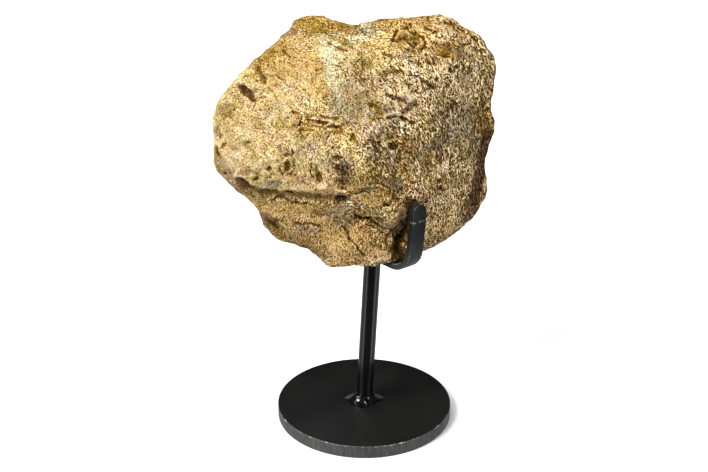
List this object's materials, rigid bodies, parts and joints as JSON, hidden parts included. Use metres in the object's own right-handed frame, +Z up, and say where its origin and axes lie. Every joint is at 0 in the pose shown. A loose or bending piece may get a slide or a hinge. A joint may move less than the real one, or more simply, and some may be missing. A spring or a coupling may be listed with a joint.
{
  "type": "fossil dinosaur frill section",
  "caption": "Thick broken slab of fossil dinosaur frill bone leaning in a flat-strap cradle on a round rod and a round black metal base.",
  "frame": {"origin": "middle of the base disc's underside", "axes": "+Z up, -Y the side that the fossil's front face looks towards, +X to the right seen from the front"},
  "size_m": [0.1514, 0.1016, 0.2321],
  "materials": {
    "fossil_bone": "rough, porous, speckled",
    "black_paint": "satin black over steel"
  },
  "bodies": {
    "root": {"frill_fossil": "fossil_bone", "base_disc": "black_paint", "base_weld": "black_paint", "rod": "black_paint", "head_weld": "black_paint", "cradle_strap": "black_paint", "rear_prong": "black_paint"}
  },
  "joints": []
}
